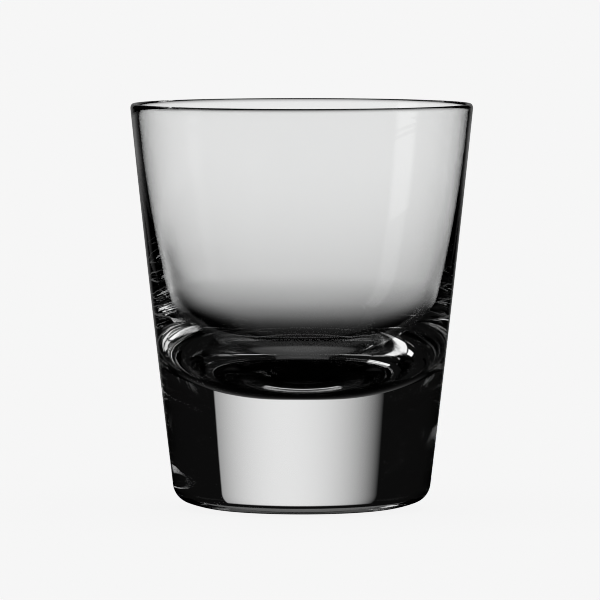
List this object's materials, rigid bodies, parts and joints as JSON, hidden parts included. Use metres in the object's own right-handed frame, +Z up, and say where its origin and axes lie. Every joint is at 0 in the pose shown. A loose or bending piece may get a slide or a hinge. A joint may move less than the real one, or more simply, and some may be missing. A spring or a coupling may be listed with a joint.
{
  "type": "whiskey tumbler",
  "caption": "Tapered clear glass tumbler with a thick solid base, a round-bottomed bowl and a thin rounded lip, for spirits and short drinks.",
  "frame": {"origin": "on the table, under the glass's upright axis: the centre of the standing ring", "axes": "+Z up along the glass's axis, from the foot to the mouth; the glass is round, so X and Y are alike"},
  "size_m": [0.0862, 0.0862, 0.102],
  "materials": {
    "clear_glass": "clear, fire-polished"
  },
  "bodies": {
    "root": {"tumbler_glass": "clear_glass"}
  },
  "joints": []
}
